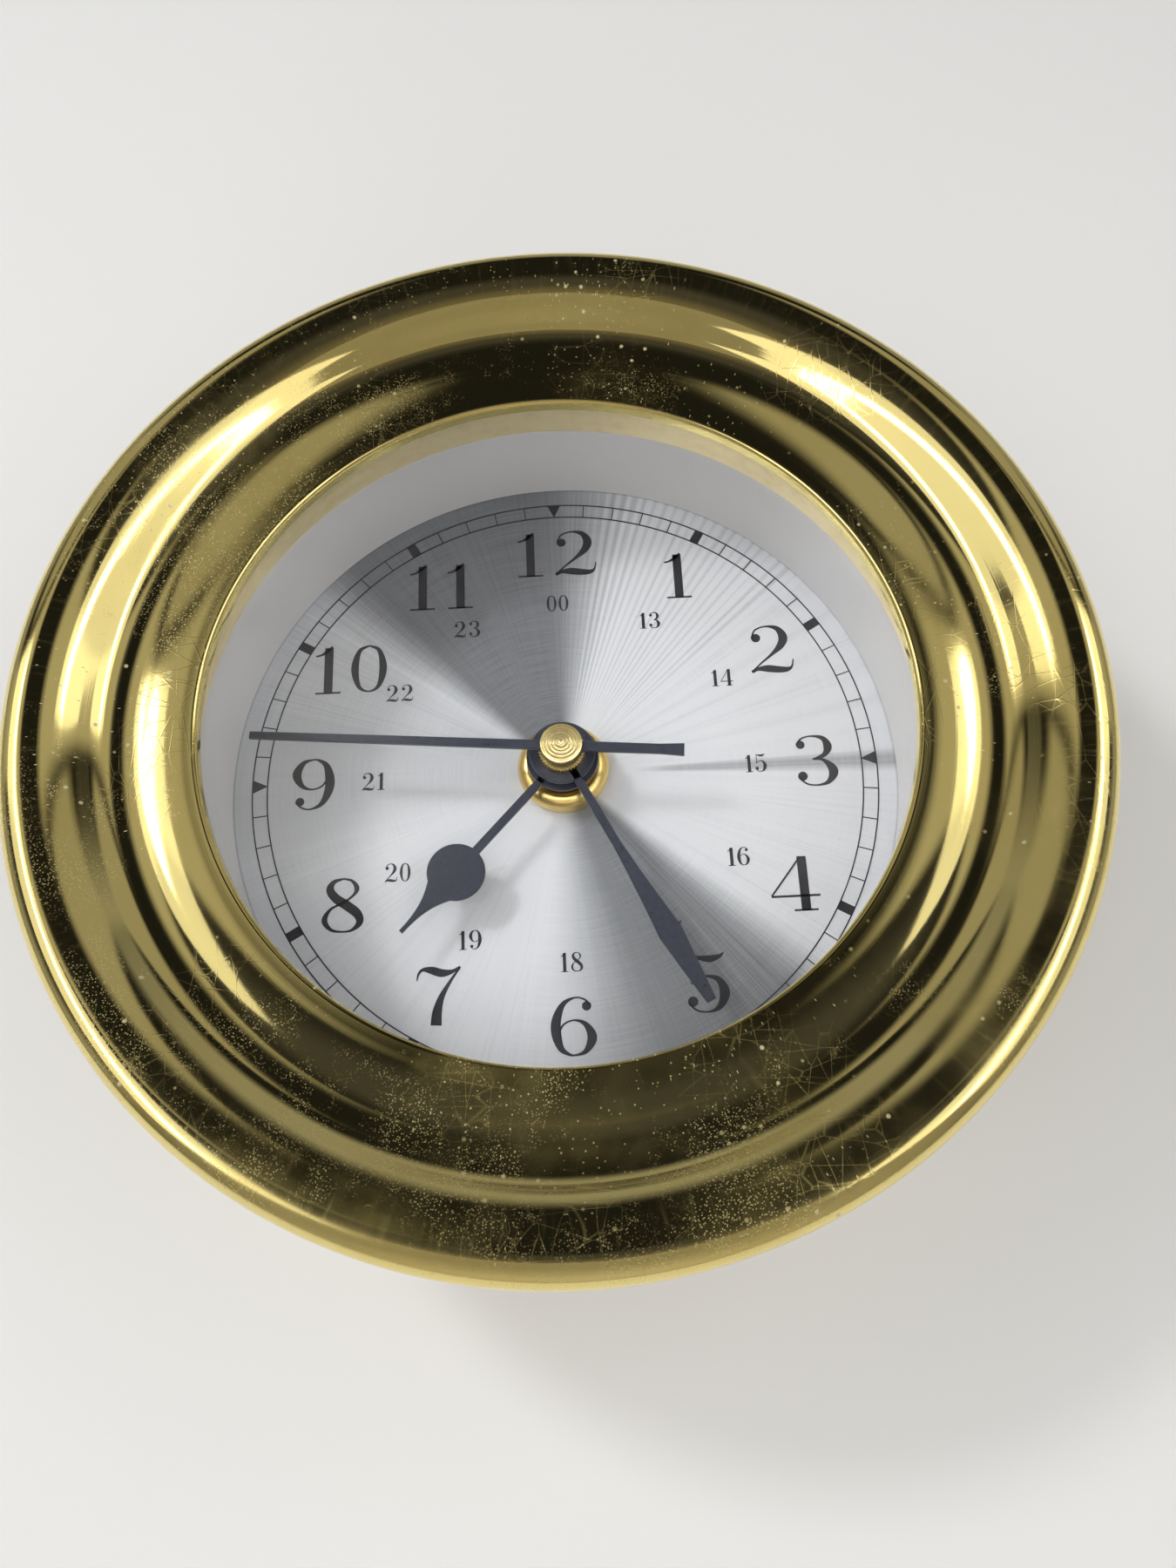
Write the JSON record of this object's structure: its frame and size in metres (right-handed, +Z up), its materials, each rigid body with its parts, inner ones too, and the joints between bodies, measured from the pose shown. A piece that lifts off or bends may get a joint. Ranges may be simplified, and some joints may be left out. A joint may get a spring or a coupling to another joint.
{
  "type": "ship clock",
  "caption": "Round brass ship clock with a deep moulded front ring, silvered dial, three hands and a quartz movement on a hanging back.",
  "frame": {"origin": "where the dial's axis meets the plane of the wall that the clock hangs on", "axes": "+Z up towards 12 o'clock, +X towards 3 o'clock, the dial faces -Y, +Y into the wall"},
  "size_m": [0.126, 0.0512, 0.126],
  "materials": {
    "polished_brass": "polished, lightly worn",
    "case_brass": "satin brushed round the drum",
    "inner_brass": "turned",
    "turned_brass": "turned bright",
    "back_brass": "satin, tarnished",
    "brass_screws": "bright",
    "steel_screws": "bright",
    "zinc_steel": "zinc plated",
    "can_steel": "bright",
    "magnet_grey": "sintered, matt",
    "clear_glass": "clear, flat",
    "white_enamel": "satin white",
    "silvered_dial": "fine silver brushing",
    "dial_ink": "printed black ink",
    "hand_black": "satin black",
    "black_rubber": "matt",
    "movement_plastic": "spark eroded",
    "knob_plastic": "moulded",
    "white_plastic": "moulded",
    "black_resin": "potted",
    "board_green": "lacquered",
    "coil_copper": "enamelled wire",
    "cell_sleeve": "printed film"
  },
  "bodies": {
    "case": {"bezel_ring": "polished_brass", "glass_gasket": "black_rubber", "front_glass": "clear_glass", "glass_sleeve": "inner_brass", "white_wall": "white_enamel", "dial_plate": "silvered_dial", "minute_track": "dial_ink", "case_drum": "case_brass", "dial_seat": "case_brass", "cover_lugs": "case_brass", "bezel_screws": "brass_screws", "back_cover": "back_brass", "cover_screws": "steel_screws", "hanger_plate": "zinc_steel", "hanger_rivets": "zinc_steel", "movement_base": "movement_plastic", "movement_cover": "movement_plastic", "centre_bush": "turned_brass", "rubber_washer": "black_rubber", "dial_nut": "turned_brass", "train_plate": "turned_brass", "circuit_board": "board_green", "driver_chip": "black_resin", "quartz_crystal": "can_steel", "stator": "can_steel", "coil_core": "can_steel", "coil_bobbin": "white_plastic", "coil_winding": "coil_copper", "cell": "cell_sleeve", "plus_contact": "can_steel", "minus_contact": "can_steel"},
    "minute": {"minute_pipe": "can_steel", "centre_wheel": "white_plastic", "minute_hand": "hand_black", "minute_collet": "hand_black", "hand_nut": "turned_brass"},
    "hour": {"hour_wheel": "white_plastic", "hour_hand": "hand_black", "hour_collet": "hand_black"},
    "second": {"second_arbor": "can_steel", "second_wheel": "white_plastic", "second_hand": "hand_black", "second_tube": "turned_brass", "second_cap": "turned_brass"},
    "third": {"third_arbor": "white_plastic", "third_wheel": "white_plastic"},
    "fifth": {"fifth_arbor": "white_plastic", "fifth_wheel": "white_plastic"},
    "rotor": {"rotor_magnet": "magnet_grey", "rotor_pinion": "white_plastic"},
    "motion": {"motion_wheel": "white_plastic"},
    "setting": {"setting_stem": "white_plastic", "setting_knob": "knob_plastic"}
  },
  "joints": [
    {"name": "minute_spin", "type": "hinge", "parent": "case", "child": "minute", "pos_m": [0, -0.02, 0], "axis": [0, 1, 0], "continuous": true},
    {"name": "hour_spin", "type": "hinge", "parent": "case", "child": "hour", "pos_m": [0, -0.02, 0], "axis": [0, 1, 0], "continuous": true},
    {"name": "second_spin", "type": "hinge", "parent": "case", "child": "second", "pos_m": [0, -0.02, 0], "axis": [0, 1, 0], "continuous": true},
    {"name": "third_spin", "type": "hinge", "parent": "case", "child": "third", "pos_m": [-0.00589, -0.01, 0.0034], "axis": [0, 1, 0], "continuous": true},
    {"name": "fifth_spin", "type": "hinge", "parent": "case", "child": "fifth", "pos_m": [0.0035, -0.01, 0.00606], "axis": [0, 1, 0], "continuous": true},
    {"name": "rotor_spin", "type": "hinge", "parent": "case", "child": "rotor", "pos_m": [0.00849, -0.01, 0.00894], "axis": [0, 1, 0], "continuous": true},
    {"name": "motion_spin", "type": "hinge", "parent": "case", "child": "motion", "pos_m": [0.0084, -0.01, 0], "axis": [0, 1, 0], "continuous": true},
    {"name": "setting_spin", "type": "hinge", "parent": "case", "child": "setting", "pos_m": [0.01622, -0.01, -0.00307], "axis": [0, 1, 0], "continuous": true}
  ],
  "couplings": [
    {"joint": "hour_spin", "follows": "minute_spin", "ratio": 0.083333},
    {"joint": "second_spin", "follows": "minute_spin", "ratio": 60},
    {"joint": "third_spin", "follows": "minute_spin", "ratio": -8},
    {"joint": "fifth_spin", "follows": "minute_spin", "ratio": -360},
    {"joint": "rotor_spin", "follows": "minute_spin", "ratio": 1800},
    {"joint": "motion_spin", "follows": "minute_spin", "ratio": -0.33333},
    {"joint": "setting_spin", "follows": "minute_spin", "ratio": 1}
  ]
}
